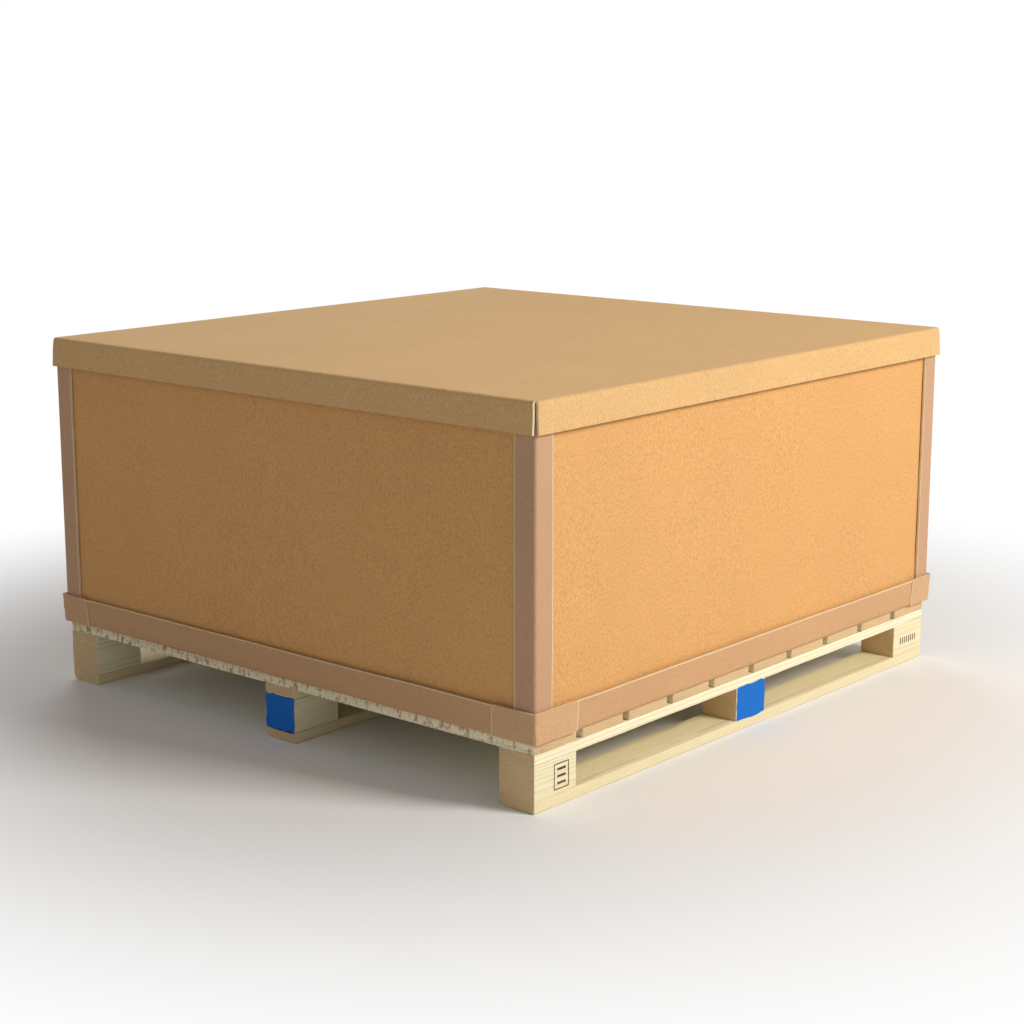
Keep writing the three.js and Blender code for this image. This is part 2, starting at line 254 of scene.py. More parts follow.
def add_node(tree, kind, **settings):
    """A node with its properties and unlinked inputs set by name."""
    node = tree.nodes.new("ShaderNode" + kind)
    for key, value in settings.items():
        if hasattr(node, key):
            setattr(node, key, value)
        else:
            node.inputs[key.replace("_", " ")].default_value = value
    return node


def math(tree, operation, first, second=None, clamp=False):
    """A Math node on numbers or sockets."""
    node = tree.nodes.new("ShaderNodeMath")
    node.operation = operation
    node.use_clamp = clamp
    for socket, value in zip(node.inputs, (first, second)):
        if isinstance(value, (int, float)):
            socket.default_value = value
        elif value is not None:
            tree.links.new(value, socket)
    return node.outputs[0]


def noise(tree, vector, scale, detail=4.0, roughness=0.55):
    """The value of a Noise Texture at a vector."""
    node = add_node(tree, "TexNoise", Scale=scale, Detail=detail, Roughness=roughness)
    tree.links.new(vector, node.inputs["Vector"])
    return node.outputs["Fac"]


def stretch(tree, vector, scale):
    """The vector times a scale for each axis."""
    node = tree.nodes.new("ShaderNodeVectorMath")
    node.operation = "MULTIPLY"
    node.inputs[1].default_value = scale
    tree.links.new(vector, node.inputs[0])
    return node.outputs[0]


# %% Colour, gloss and bump
MIX_FIRST = 6
MIX_SECOND = 7
MIX_RESULT = 2


def blend(tree, factor, first, second):
    """A colour Mix node, whose colour sockets go by number. Colours are sockets or linear triples."""
    node = tree.nodes.new("ShaderNodeMix")
    node.data_type = "RGBA"
    for socket, value in ((node.inputs["Factor"], factor), (node.inputs[MIX_FIRST], first),
                          (node.inputs[MIX_SECOND], second)):
        if isinstance(value, (int, float)):
            socket.default_value = value
        elif isinstance(value, tuple):
            socket.default_value = (*value, 1)
        else:
            tree.links.new(value, socket)
    return node.outputs[MIX_RESULT]


def bump(tree, shader, height, distance):
    """Bump from a height socket, in metres of distance."""
    node = add_node(tree, "Bump", Distance=distance)
    tree.links.new(height, node.inputs["Height"])
    tree.links.new(node.outputs["Normal"], shader.inputs["Normal"])


def object_place(tree):
    """Object coordinates in metres: a pattern on them moves with its piece."""
    return add_node(tree, "TexCoord").outputs["Object"]


def set_gloss(shader, roughness, specular):
    """One roughness and one specular level all over, on the shader's own sockets."""
    shader.inputs["Roughness"].default_value = roughness
    shader.inputs["Specular IOR Level"].default_value = specular


def linear(red, green, blue):
    """A linear triple from 0 to 255 screen values, by the sRGB curve."""
    screen = np.array([red, green, blue]) / 255
    value = np.where(screen <= 0.04045, screen / 12.92, ((screen + 0.055) / 1.055) ** 2.4)
    return tuple(value.tolist())


# %% Pine colours and sizes
PINE_PALE = linear(252, 250, 226)
PINE_WARM = linear(248, 241, 202)
PINE_DEEP = linear(226, 204, 156)
PINE_FIBRE = linear(202, 168, 112)
PINE_RING = linear(208, 172, 108)
PINE_KNOT = linear(122, 76, 42)
PINE_HALO = linear(196, 140, 84)
PINE_TORN = linear(182, 142, 96)
PINE_END = linear(230, 203, 156)
PINE_END_RING = linear(168, 120, 78)
PINE_END_STAIN = linear(198, 160, 118)
RING_SPACING = 0.0046
SLOW_BEND = 0.018
FAST_BEND = 0.0012
KNOT_CORE = 0.05
KNOT_REACH = 0.14


# %% Rings and knots
def attribute(tree, name, output="Fac"):
    """A socket that reads one of the mesh's own attributes."""
    return add_node(tree, "Attribute", attribute_name=name).outputs[output]


def late_wood(tree, log):
    """The dark part of each year ring: the fraction of bent distance from the pith / spacing, cubed."""
    split = add_node(tree, "SeparateXYZ")
    tree.links.new(log, split.inputs[0])
    across, up = split.outputs["Y"], split.outputs["Z"]
    bent = math(tree, "SQRT", math(tree, "ADD", math(tree, "MULTIPLY", across, across),
                                   math(tree, "MULTIPLY", up, up)))
    slow = noise(tree, stretch(tree, log, (1.1, 9.0, 9.0)), 1.0, 3.0)
    fast = noise(tree, stretch(tree, log, (5.0, 60.0, 60.0)), 1.0, 2.0)
    for wander, size in ((slow, SLOW_BEND), (fast, FAST_BEND)):
        bent = math(tree, "ADD", bent, math(tree, "MULTIPLY", math(tree, "SUBTRACT", wander, 0.5), size))
    ring = math(tree, "FRACT", math(tree, "DIVIDE", bent, RING_SPACING))
    return math(tree, "POWER", ring, 3.0)


def knots(tree, log, end):
    """Masks of the knots' cores and of the wood round them: distance to scattered points, off the ends."""
    spots = add_node(tree, "TexVoronoi", Scale=1.0, Randomness=1.0)
    tree.links.new(stretch(tree, log, (2.2, 7.0, 7.0)), spots.inputs["Vector"])
    core = math(tree, "LESS_THAN", spots.outputs["Distance"], KNOT_CORE)
    halo = add_node(tree, "MapRange", From_Min=KNOT_CORE, From_Max=KNOT_REACH, To_Min=1.0, To_Max=0.0)
    tree.links.new(spots.outputs["Distance"], halo.inputs["Value"])
    around = math(tree, "MULTIPLY", halo.outputs["Result"], 0.45, clamp=True)
    side = math(tree, "SUBTRACT", 1.0, end)
    return math(tree, "MULTIPLY", core, side), math(tree, "MULTIPLY", around, side)


# %% Pine
def make_pine(name):
    """Sides and ends of a timber from one log: rings, fibre and stain, then knots and torn fibres."""
    material, tree, shader = new_material(name)
    log = attribute(tree, "log", "Vector")
    end = attribute(tree, "end_grain")
    late = late_wood(tree, log)
    fibre = noise(tree, stretch(tree, log, (14.0, 900.0, 900.0)), 1.0, 3.0, 0.6)
    stain = noise(tree, stretch(tree, log, (3.0, 14.0, 14.0)), 1.0, 4.0, 0.6)
    base = blend(tree, stain, PINE_WARM, PINE_PALE)
    base = blend(tree, attribute(tree, "tone"), base, PINE_DEEP)
    side = blend(tree, math(tree, "MULTIPLY", late, 0.4), base, PINE_RING)
    side = blend(tree, math(tree, "MULTIPLY", math(tree, "SUBTRACT", fibre, 0.45), 0.7, clamp=True),
                 side, PINE_FIBRE)
    sawn = blend(tree, math(tree, "MULTIPLY", late, 0.7), PINE_END, PINE_END_RING)
    sawn = blend(tree, math(tree, "MULTIPLY", stain, 0.45), sawn, PINE_END_STAIN)
    wood = blend(tree, end, side, sawn)
    core, around = knots(tree, log, end)
    wood = blend(tree, around, wood, PINE_HALO)
    wood = blend(tree, core, wood, PINE_KNOT)
    torn = noise(tree, stretch(tree, log, (150.0, 70.0, 70.0)), 1.0, 3.0, 0.7)
    torn = math(tree, "MULTIPLY", math(tree, "SUBTRACT", torn, 0.5), 7.0, clamp=True)
    wood = blend(tree, math(tree, "MULTIPLY", attribute(tree, "rough"), torn), wood, PINE_TORN)
    tree.links.new(wood, shader.inputs["Base Color"])
    set_gloss(shader, 0.72, 0.28)
    height = math(tree, "ADD", math(tree, "MULTIPLY", fibre, 0.6), math(tree, "MULTIPLY", late, 0.35))
    bump(tree, shader, height, 0.0008)
    return material


pine = make_pine("pine")

# %% [markdown]
# ## Timbers
# A sawn board isn't a perfect box. Its long edges are broken by a millimetre or two, its faces
# wander a little, and a runner board has one edge planed round and is deeper in colour. The two
# outer deck boards show a rough edge with slanting saw marks. Each timber is a closed profile
# carried along its length: the profile is a rectangle with small round corners, the first and last
# rings shrink a little to soften the ends, and the caps are flat.


# %% Timber surface
END_SOFTENING = 0.0007
TIMBER_STEP = 0.012
TIMBER_WANDER = 0.0004
EDGE_REACH = 0.004
SAWN_STEP = 0.002
SAWN_REACH = 0.002
SAW_DEPTH = 0.0009
SAW_PITCH = 0.0065
SAW_SLANT = 0.9
DEEPEST_TONE = 0.45
RUNNER_TONE = 0.5


def corner_profile(half_width, half_height, radii, steps=5):
    """A rectangle with four corner radii, from the low corner round by quarter circles."""
    angles = np.linspace(0, np.pi / 2, steps)
    signs = [(-1, -1), (1, -1), (1, 1), (-1, 1)]
    points = []
    for (sign_u, sign_v), radius, turn in zip(signs, radii, (np.pi, 1.5 * np.pi, 0, 0.5 * np.pi)):
        centre = np.array([sign_u * (half_width - radius), sign_v * (half_height - radius)])
        points.append(centre + radius * np.stack([np.cos(angles + turn), np.sin(angles + turn)], axis=-1))
    return np.concatenate(points)


def fill_sides(profile, longest):
    """The profile with its long sides cut into steps no longer than a length."""
    filled = []
    for here, there in zip(profile, np.roll(profile, -1, axis=0)):
        steps = max(1, int(np.ceil(np.linalg.norm(there - here) / longest)))
        share = np.arange(steps)[:, None] / steps
        filled.append(here + (there - here) * share)
    return np.concatenate(filled)


def wood_attributes(node, rng, s, u, v, rough):
    """Each point's place in its log, and the end grain, tone and roughness that the wood reads."""
    if "block" in node:
        pith = (rng.uniform(-0.02, 0.02), rng.uniform(-0.03, 0.02))
    else:
        pith = (rng.uniform(-0.03, 0.03), rng.uniform(0.012, 0.06) * rng.choice([-1, 1]))
    end_grain = np.zeros(s.shape)
    end_grain[[0, -1]] = 1.0
    shade = rng.uniform(0, DEEPEST_TONE) + (RUNNER_TONE if "runner" in node else 0)
    log = np.stack([s + rng.uniform(3, 90), u - pith[0], v - pith[1]], axis=-1)
    return {
        "log": log.reshape(-1, 3),
        "end_grain": end_grain.ravel(),
        "tone": np.full(s.size, shade),
        "rough": rough.ravel(),
    }


# %% A timber
def timber(name, node, along, seed, radii, saw_marks=None):
    """Carry a rounded rectangle along a node's X or Y. Offsets stay inside the node's own box.

    Point = centre + length direction times s + profile (u, v) drawn in by a smooth wander.
    """
    low, high = np.array(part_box(node))
    rng = np.random.default_rng(seed)
    length_axis, width_axis = (0, 1) if along == "x" else (1, 0)
    length = high[length_axis] - low[length_axis]
    half_width = (high[width_axis] - low[width_axis]) / 2
    half_height = (high[2] - low[2]) / 2
    profile = fill_sides(corner_profile(half_width, half_height, radii), TIMBER_STEP)
    step = SAWN_STEP if saw_marks is not None else TIMBER_STEP
    stations = np.linspace(-length / 2, length / 2, max(5, int(length / step)))
    softened = length / 2 - END_SOFTENING
    stations = np.concatenate([[-length / 2, -softened], stations[1:-1], [softened, length / 2]])
    shrink = np.zeros(len(stations))
    shrink[[0, -1]] = END_SOFTENING
    s, u = np.meshgrid(stations, profile[:, 0], indexing="ij")
    v = np.broadcast_to(profile[:, 1], s.shape)
    wander = np.clip(1 + noise_2d(s * 2, u * 8 + v * 20, seed), 0, 2) / 2
    drawn_in = shrink[:, None] + TIMBER_WANDER * wander
    rough = np.zeros(s.shape)
    if saw_marks is not None:
        rough = np.clip((np.abs(u) - (half_width - SAWN_REACH)) / SAWN_REACH, 0, 1)
        rough = rough * (np.sign(u) == saw_marks)
        wave = (1 + np.sin((s + v * SAW_SLANT) * 2 * np.pi / SAW_PITCH)) / 2
        drawn_in = drawn_in + rough * SAW_DEPTH * wave
    pull_u = np.clip(np.abs(u) - (half_width - EDGE_REACH), 0, None) / EDGE_REACH
    pull_v = np.clip(np.abs(v) - (half_height - EDGE_REACH), 0, None) / EDGE_REACH
    u_moved = u - np.sign(u) * drawn_in * pull_u
    v_moved = v - np.sign(v) * drawn_in * pull_v
    middle = (low + high) / 2
    points = np.zeros((*s.shape, 3))
    points[..., length_axis] = middle[length_axis] + s
    points[..., width_axis] = middle[width_axis] + u_moved
    points[..., 2] = middle[2] + v_moved
    attributes = wood_attributes(node, rng, s, u, v, rough)
    faces = outward(points, tube(points))
    return new_piece(name, points, faces, [pine], (node,), attributes)


# %% Build the pallet's timbers
EDGE_BREAK = 0.0012
RUNNER_ROUND = 0.012
BROKEN = (EDGE_BREAK,) * 4
for leg_index, leg in enumerate(("front", "middle", "back")):
    runner_radii = (EDGE_BREAK, RUNNER_ROUND, EDGE_BREAK, EDGE_BREAK)
    timber(f"runner_{leg}", f"runner_board_{leg}", "x", FIRST_SEED["runner"] + leg_index,
           runner_radii)
    timber(f"stringer_{leg}", f"stringer_board_{leg}", "x", FIRST_SEED["stringer"] + leg_index,
           BROKEN)
    for place_index, place in enumerate(("left", "centre", "right")):
        seed = FIRST_SEED["block"] + 3 * leg_index + place_index
        timber(f"wood_block_{leg}_{place}", f"block_{leg}_{place}", "x", seed, BROKEN)
for board in range(1, 11):
    marks = {1: -1, 10: 1}.get(board)
    timber(f"deck_{board}", f"deck_board_{board}", "y", FIRST_SEED["deck"] + board,
           BROKEN, saw_marks=marks)
print("Timbers: 15 in the legs and 10 in the deck")

# %% [markdown]
# ## Kraft board
# Corrugated panels and rolled angle boards are both brown kraft, and they differ in how they catch
# light. A panel is dull and speckled with fibre, with faint upright bands of painted flute shade
# over a flute bump. An angle board is smooth, pinker, and shows its paper plies only on a cut edge.

# %% Kraft materials
FLUTE_PITCH = 0.0075


def make_kraft(name, colour, speckle, flute_axis, flute_shade_and_bump, tint_shift, roughness=0.82):
    """Kraft: a base colour times cloudy noise and fibre specks, with painted flute shade in bands along one
    axis.
    """
    material, tree, shader = new_material(name)
    place = object_place(tree)
    cloud = noise(tree, place, 5.0, 5.0, 0.6)
    blotch = noise(tree, place, 38.0, 4.0, 0.6)
    fibre = noise(tree, stretch(tree, place, (1.0, 1.0, 0.6)), 380.0, 4.0, 0.72)
    base = np.array(colour)
    tinted = blend(tree, cloud, tuple(base * (1 - tint_shift)), tuple(base * (1 + tint_shift)))
    tinted = blend(tree, math(tree, "MULTIPLY", blotch, 0.22), tinted, tuple(base * 0.74))
    dark = math(tree, "MULTIPLY", math(tree, "SUBTRACT", fibre, 0.5), 1.5 * speckle, clamp=True)
    pale = math(tree, "MULTIPLY", math(tree, "SUBTRACT", 0.5, fibre), 1.5 * speckle, clamp=True)
    tinted = blend(tree, dark, tinted, tuple(base * 0.5))
    tinted = blend(tree, pale, tinted, tuple(np.minimum(base * 1.45, 0.95)))
    split = add_node(tree, "SeparateXYZ")
    tree.links.new(place, split.inputs[0])
    band_at = split.outputs[0]
    if flute_axis == "xy":
        band_at = math(tree, "ADD", split.outputs[0], split.outputs[1])
    band = math(tree, "SINE", math(tree, "MULTIPLY", band_at, 2 * np.pi / FLUTE_PITCH))
    # Painted shade: the flute bands darken the colour towards 0.6 of the base, and they also feed the bump.
    tinted = blend(tree, math(tree, "MULTIPLY", band, flute_shade_and_bump * 0.5, clamp=True), tinted,
                   tuple(base * 0.6))
    tree.links.new(tinted, shader.inputs["Base Color"])
    set_gloss(shader, roughness, 0.22)
    height = math(tree, "ADD", math(tree, "MULTIPLY", fibre, 0.5),
                  math(tree, "MULTIPLY", band, flute_shade_and_bump))
    height = math(tree, "ADD", height, math(tree, "MULTIPLY", blotch, 1.2))
    bump(tree, shader, height, 0.0004)
    return material


def make_cut_edge(name, colour):
    """A cut edge of board: pale, dry paper fibre with a fine grain, paler still as a painted highlight."""
    material, tree, shader = new_material(name)
    place = object_place(tree)
    ply = noise(tree, place, 900.0, 3.0, 0.7)
    base = np.array(colour)
    tree.links.new(blend(tree, ply, tuple(base * 0.72), tuple(np.minimum(base * 1.2, 0.95))),
                   shader.inputs["Base Color"])
    set_gloss(shader, 0.9, 0.15)
    bump(tree, shader, ply, 0.0006)
    return material


panel_kraft = make_kraft("panel_kraft", linear(223, 168, 107), speckle=1.6, flute_axis="xy",
                         flute_shade_and_bump=0.10, tint_shift=0.07)
lid_kraft = make_kraft("lid_kraft", linear(223, 180, 124), speckle=1.3, flute_axis="x",
                       flute_shade_and_bump=0.05, tint_shift=0.08)
base_kraft = make_kraft("base_kraft", linear(208, 160, 108), speckle=1.0, flute_axis="x",
                        flute_shade_and_bump=0.08, tint_shift=0.07)
post_kraft = make_kraft("post_kraft", linear(199, 158, 125), speckle=0.7, flute_axis="x",
                        flute_shade_and_bump=0.0, tint_shift=0.06, roughness=0.62)
trim_kraft = make_kraft("trim_kraft", linear(206, 162, 119), speckle=0.8, flute_axis="x",
                        flute_shade_and_bump=0.0, tint_shift=0.07, roughness=0.64)
patch_kraft = make_kraft("patch_kraft", linear(210, 169, 127), speckle=0.9, flute_axis="x",
                         flute_shade_and_bump=0.0, tint_shift=0.09, roughness=0.66)
# Cut edges: the pale colour is partly the paper's own and partly a painted highlight on the lit edge.
raw_edge = make_cut_edge("raw_edge", linear(244, 220, 182))

# %% [markdown]
# ## The sleeve
# The four walls are one sheet of corrugated board folded round the box. From outside it is a flat
# kraft skin, but with the lid off its top edge shows what it is: three paper liners with a wave of
# paper between each two. The wall is one closed profile carried round the plan, with two slots in
# its top edge, and each wave is a thin ribbon whose distance from the skin is a sine.


# %% A path round the box
def plan_path(half_x, half_y, radius, side_step, corner_steps=8):
    """Points and outward normals round a rectangle with round corners, by arc length."""
    points, normals = [], []
    quarter = np.linspace(0, np.pi / 2, corner_steps)
    corners = [(1, 1, 0), (-1, 1, np.pi / 2), (-1, -1, np.pi), (1, -1, 1.5 * np.pi)]
    for index, (sign_x, sign_y, turn) in enumerate(corners):
        normal = np.stack([np.cos(quarter + turn), np.sin(quarter + turn)], axis=-1)
        centre = np.array([sign_x * (half_x - radius), sign_y * (half_y - radius)])
        points.append(centre + radius * normal)
        normals.append(normal)
        side = 2 * ((half_x if index % 2 == 0 else half_y) - radius)
        share = np.linspace(0, 1, int(side / side_step) + 1)[1:-1, None]
        ahead = np.array([-normal[-1][1], normal[-1][0]])
        points.append(points[-1][-1] + ahead * share * side)
        normals.append(np.repeat(normal[-1:], len(share), axis=0))
    points, normals = np.concatenate(points), np.concatenate(normals)
    gone = np.linalg.norm(np.roll(points, -1, axis=0) - points, axis=1)
    return points, normals, np.concatenate([[0], np.cumsum(gone)])


# %% Wall and waves
WALL = 0.010
LINER = 0.0008
SLOT_DEPTH = 0.006
SLEEVE_RADIUS = 0.012
DENT = 0.0005
DENT_FADE = 0.06
SLEEVE_STEP = 0.024
WAVE_POINTS = 8
WAVE_DROP = 0.0004
WAVE_RAGGED = 0.0005
PAPER = 0.00035

sleeve_low, sleeve_high = np.array(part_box("wall_sleeve"))


def build_sleeve():
    """Point = path(s) - normal(s) * depth, plus height. The wall is dented by about a millimetre."""
    plan, normals, distance = plan_path(sleeve_high[0], sleeve_high[1], SLEEVE_RADIUS, SLEEVE_STEP)
    bottom, top = sleeve_low[2], sleeve_high[2]
    slot = top - SLOT_DEPTH
    middle = (WALL - LINER) / 2
    teeth = [(0, top), (LINER, top), (LINER, slot), (middle, slot), (middle, top), (middle + LINER, top),
             (middle + LINER, slot), (WALL - LINER, slot), (WALL - LINER, top), (WALL, top)]
    up = np.linspace(bottom, top, 18)[:-1]
    down = np.linspace(top, bottom, 10)[1:]
    depth = np.concatenate([np.zeros(len(up)), [tooth[0] for tooth in teeth], np.full(len(down), WALL)])
    height = np.concatenate([up, [tooth[1] for tooth in teeth], down])
    along, level = np.meshgrid(distance[:-1], height, indexing="ij")
    dent = DENT * np.clip(1.2 + noise_2d(along * 1.4, level * 2.0, 5), 0, 2.4)
    dent *= np.clip((slot - level) / DENT_FADE, 0, 1)
    points = np.zeros((*along.shape, 3))
    points[..., :2] = plan[:, None] - normals[:, None] * (depth + dent)[..., None]
    points[..., 2] = level
    faces = grid_faces(*along.shape, close_rows=True, close_columns=True).tolist()
    cut = (np.arange(len(height)) >= len(up)) & (np.arange(len(height)) < len(up) + len(teeth) - 1)
    face_material = np.tile(cut, len(plan)).astype(int)
    return new_piece("sleeve_skin", points, outward(points, faces), [panel_kraft, raw_edge],
                     ("wall_sleeve",), face_material=face_material)


def wave_ribbon(name, centre_depth, amplitude, seed):
    """A paper ribbon round the wall's top edge at depth = centre + amplitude * sin(2 pi s / pitch)."""
    plan, normals, distance = plan_path(sleeve_high[0], sleeve_high[1], SLEEVE_RADIUS, 0.02)
    total = distance[-1]
    waves = int(total / FLUTE_PITCH)
    s = np.linspace(0, total, waves * WAVE_POINTS, endpoint=False)
    closed = [np.append(part, part[0]) for part in (*plan.T, *normals.T)]
    x, y, normal_x, normal_y = (np.interp(s, distance, part) for part in closed)
    depth = centre_depth + amplitude * np.sin(2 * np.pi * waves * s / total + seed)
    top = sleeve_high[2] - WAVE_DROP - WAVE_RAGGED * (1 + noise_1d(s, seed)) / 2
    low = np.full(len(s), sleeve_high[2] - SLOT_DEPTH)
    rings = [(-PAPER / 2, low), (-PAPER / 2, top), (PAPER / 2, top), (PAPER / 2, low)]
    points = np.stack([np.stack([x - normal_x * (depth + half), y - normal_y * (depth + half), level],
                                axis=-1) for half, level in rings], axis=1)
    faces = grid_faces(len(s), 4, close_rows=True, close_columns=True).tolist()
    return new_piece(name, points, outward(points, faces), [raw_edge], ())


build_sleeve()
WAVE_ROOM = (WALL - 3 * LINER) / 2
for ribbon, start_depth in enumerate((LINER, (WALL + LINER) / 2)):
    wave_ribbon(f"sleeve_wave_{ribbon + 1}", start_depth + WAVE_ROOM / 2, WAVE_ROOM / 2 - PAPER, ribbon + 1)
print("Sleeve with two waves of paper in its edge")

# %% [markdown]
# ## Angle boards
# Posts, trims and patches are all strips of board bent to an L. Each is a closed L profile carried
# along its length. What makes them look real is how they sit: a post's legs bow a little off the
# panel, a trim leans out over the post behind it, and a patch was wrapped by hand, so its ends are
# cut askew and its top stands off. A narrow rim beside each cut edge takes the pale cut-edge colour,
# a painted highlight that widens the lit edge.


# %% The L profile
# A strip this wide beside each cut edge is painted pale, as a highlight along the edge.
RIM = 0.0013
SHARPEST_BEND = 0.0002


def leg_rows(leg, radius, leg_steps):
    """Distances from the bend's corner along a leg, from its tip, past a narrow rim, to the bend."""
    share = np.linspace(1 - RIM / (leg - radius), 0, leg_steps)
    return radius + (leg - radius) * np.concatenate([[1.0], share])


def angle_section(leg_a, leg_b, thickness, radius, steps=6, leg_steps=7):
    """An L from the tip of leg A round its outside to the tip of leg B and back along its inside.

    Gives the (a, b) points and the number of them on the outside.
    """
    quarter = np.linspace(0, np.pi / 2, steps)
    inner = max(radius - thickness, SHARPEST_BEND)
    along_a = leg_rows(leg_a, radius, leg_steps)
    along_b = leg_rows(leg_b, radius, leg_steps)[::-1]
    outer_a = np.stack([along_a, 0 * along_a], axis=-1)
    outer_b = np.stack([0 * along_b, along_b], axis=-1)
    outer_arc = radius - radius * np.stack([np.sin(quarter), np.cos(quarter)], axis=-1)
    inner_arc = radius - inner * np.stack([np.cos(quarter), np.sin(quarter)], axis=-1)
    inner_a = outer_a[::-1] + [0, thickness]
    inner_b = outer_b[::-1] + [thickness, 0]
    outside = np.concatenate([outer_a, outer_arc[1:-1], outer_b])
    return np.concatenate([outside, inner_b, inner_arc[1:-1], inner_a]), len(outside)


def cut_faces(rows, columns, tip_column, rim=0):
    """Material indices of a tube's faces: 1 on its two cut edges, their painted-highlight rims and the caps,
    else 0.
    """
    cut = np.zeros(columns, int)
    cut[[tip_column - 1, columns - 1]] = 1
    cut[:rim] = 1
    cut[tip_column - 1 - rim : tip_column - 1] = 1
    return np.concatenate([np.tile(cut, rows - 1), np.ones(columns - 2, int)])


# %% Posts
CORNERS = {"front_left": (-1, -1), "front_right": (1, -1), "back_right": (1, 1), "back_left": (-1, 1)}
POST_THICKNESS = 0.004
POST_RADIUS = 0.0055
POST_BOW = 0.0016
POST_STRAIGHT = 0.006


def corner_frame(corner, low, high):
    """A corner's signs along X and Y, and its outer point in plan."""
    sign = np.array(CORNERS[corner])
    return sign, np.where(sign > 0, high[:2], low[:2])


def upright_points(corner_sign, outer, a, b, height):
    """Point = outer corner, less the section's a along X and b along Y, at each ring's height."""
    level = np.broadcast_to(height[:, None], a.shape)
    return np.stack([outer[0] - corner_sign[0] * a, outer[1] - corner_sign[1] * b, level], axis=-1)


def corner_post(name, seed):
    """An upright L. The tips of its legs stand off the panel by a bow that varies with height."""
    low, high = np.array(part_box(f"corner_post_{name}"))
    sign, outer = corner_frame(name, low, high)
    section, tip = angle_section(*(high - low)[:2], POST_THICKNESS, POST_RADIUS)
    height = np.linspace(low[2], high[2], 40)
    share = (height - low[2]) / (high[2] - low[2])
    arch = np.sin(np.pi * np.clip(share * 1.05, 0, 1))
    bow_a = POST_BOW * arch * (0.6 + 0.4 * noise_1d(share * 1.5, seed))
    bow_b = POST_BOW * arch * (0.6 + 0.4 * noise_1d(share * 1.5, seed + 50))
    far_a = np.clip((section[:, 0] - POST_STRAIGHT) / (high - low)[0], 0, 1) ** 2
    far_b = np.clip((section[:, 1] - POST_STRAIGHT) / (high - low)[1], 0, 1) ** 2
    a = section[None, :, 0] - bow_b[:, None] * far_b
    b = section[None, :, 1] - bow_a[:, None] * far_a
    points = upright_points(sign, outer, a, b, height)
    faces = outward(points, folded_tube(points))
    return new_piece(f"post_{name}", points, faces, [post_kraft, raw_edge], (f"corner_post_{name}",),
                     face_material=cut_faces(*points.shape[:2], tip, rim=1))


for seed, corner_name in enumerate(CORNERS):
    corner_post(corner_name, FIRST_SEED["post"] + seed)
print("Posts:", len(CORNERS))

# %% Trims
TRIM_LEG = 0.05
TRIM_THICKNESS = 0.0035
TRIM_RADIUS = 0.007
TRIM_LEAN = 0.0024
TRIM_WAVER = 0.0005
TRIM_SAG = 0.0005
TRIM_RIM = 0.045
MITRE_REACH = 0.06
FOOT_FADE = 0.01
SIDES = {"front": (1, -1), "right": (0, 1), "back": (1, 1), "left": (0, -1)}


def bottom_trim(name, seed):
    """An L along one side, mitred at both ends. Its upright leg leans out towards its top edge.

    A ring at distance s has the profile's (inward, up), and the end rings follow the mitre.
    """
    low, high = np.array(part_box(f"bottom_trim_{name}"))
    across, sign = SIDES[name]
    along = 1 - across
    section, tip = angle_section(TRIM_LEG, TRIM_LEG, TRIM_THICKNESS, TRIM_RADIUS)
    inward, up = section[:, 0], section[:, 1]
    half = high[along]
    rings = np.concatenate([[-half], np.linspace(-half + MITRE_REACH, half - MITRE_REACH, 90), [half]])
    s = np.repeat(rings[:, None], len(section), axis=1)
    s[0] += inward
    s[-1] -= inward
    upright = (inward < TRIM_THICKNESS + 1e-6) & (up > 0)
    rise = np.clip(up / TRIM_LEG, 0, 1)
    lean = TRIM_LEAN * (1 - rise) * np.clip(1 - (inward - TRIM_THICKNESS) / FOOT_FADE, 0, 1)
    waver = TRIM_WAVER * np.clip(1 + noise_2d(s * 1.5, 0 * s + rise, seed), 0, 2) * rise * upright
    sag = TRIM_SAG * (1 + noise_1d(rings * 1.8, seed))[:, None] * (up > TRIM_RIM)
    points = np.zeros((*s.shape, 3))
    face = high[across] if sign > 0 else low[across]
    points[..., along] = s
    points[..., across] = face - sign * (inward + lean + waver)
    points[..., 2] = low[2] + up - np.clip(sag, 0, None)
    faces = outward(points, folded_tube(points))
    return new_piece(f"trim_{name}", points, faces, [trim_kraft, raw_edge], (f"bottom_trim_{name}",),
                     face_material=cut_faces(*points.shape[:2], tip, rim=1))


for seed, side in enumerate(SIDES):
    bottom_trim(side, FIRST_SEED["trim"] + seed)
print("Trims:", len(SIDES))

# %% Patches
PATCH_THICKNESS = 0.0025
PATCH_RADIUS = 0.0045
PATCH_TUCK = 0.0034
PATCH_ROUND = 0.009
PATCH_SKEW = 0.06
PATCH_CREASE = 0.0004


